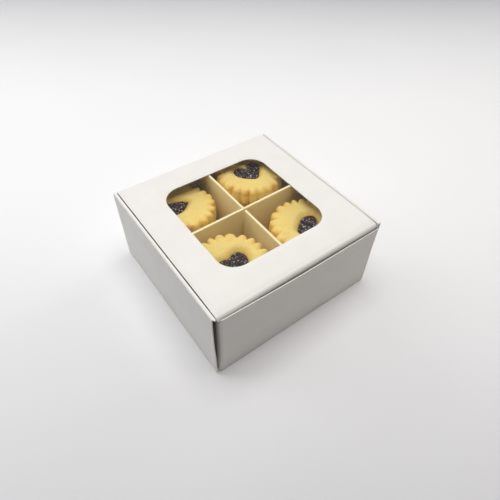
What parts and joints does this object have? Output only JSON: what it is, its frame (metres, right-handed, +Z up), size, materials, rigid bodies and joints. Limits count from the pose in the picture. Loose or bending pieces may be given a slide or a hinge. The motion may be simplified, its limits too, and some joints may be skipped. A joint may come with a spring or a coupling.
{
  "type": "treat box",
  "caption": "Square folded card treat box with a hinged window lid that tucks in at the front, a crossed divider and fluted jam biscuits in its compartments.",
  "frame": {"origin": "middle of the underside, on the surface that the box stands on", "axes": "+Z up, +X to the right along the front wall, -Y out of the front wall where the lid tucks in; the lid hinges at +Y"},
  "size_m": [0.115, 0.111, 0.053],
  "materials": {
    "white_board": "matte",
    "insert_board": "matte",
    "clear_film": "gloss",
    "baked_dough": "matte",
    "berry_jam": "gloss"
  },
  "bodies": {
    "tray": {"base_panel": "white_board", "front_wall": "white_board", "front_left_corner_flap": "white_board", "front_right_corner_flap": "white_board", "rear_wall": "white_board", "rear_left_corner_flap": "white_board", "rear_right_corner_flap": "white_board", "left_outer_panel": "white_board", "left_top_fold": "white_board", "left_inner_panel": "white_board", "right_outer_panel": "white_board", "right_top_fold": "white_board", "right_inner_panel": "white_board", "cross_divider": "insert_board", "long_divider": "insert_board", "front_left_biscuit_1": "baked_dough", "front_left_biscuit_2": "baked_dough", "front_left_biscuit_3": "baked_dough", "front_left_biscuit_4": "baked_dough", "front_right_biscuit_1": "baked_dough", "front_right_biscuit_2": "baked_dough", "front_right_biscuit_3": "baked_dough", "front_right_biscuit_4": "baked_dough", "rear_left_biscuit_1": "baked_dough", "rear_left_biscuit_2": "baked_dough", "rear_left_biscuit_3": "baked_dough", "rear_left_biscuit_4": "baked_dough", "rear_right_biscuit_1": "baked_dough", "rear_right_biscuit_2": "baked_dough", "rear_right_biscuit_3": "baked_dough", "rear_right_biscuit_4": "baked_dough", "front_left_jam_1": "berry_jam", "front_left_jam_2": "berry_jam", "front_left_jam_3": "berry_jam", "front_left_jam_4": "berry_jam", "front_right_jam_1": "berry_jam", "front_right_jam_2": "berry_jam", "front_right_jam_3": "berry_jam", "front_right_jam_4": "berry_jam", "rear_left_jam_1": "berry_jam", "rear_left_jam_2": "berry_jam", "rear_left_jam_3": "berry_jam", "rear_left_jam_4": "berry_jam", "rear_right_jam_1": "berry_jam", "rear_right_jam_2": "berry_jam", "rear_right_jam_3": "berry_jam", "rear_right_jam_4": "berry_jam"},
    "lid": {"lid_panel": "white_board", "window_film": "clear_film"},
    "tuck": {"tuck_flap": "white_board"}
  },
  "joints": [
    {"name": "lid_hinge", "type": "hinge", "parent": "tray", "child": "lid", "pos_m": [0, 0.0555, 0.0525], "axis": [-1, 0, 0], "range_deg": [0, 180]},
    {"name": "tuck_crease", "type": "hinge", "parent": "lid", "child": "tuck", "pos_m": [0, -0.0546, 0.0525], "axis": [-1, 0, 0], "range_deg": [0, 90]}
  ],
  "couplings": [
    {"joint": "tuck_crease", "follows": "lid_hinge", "ratio": 0.5}
  ]
}
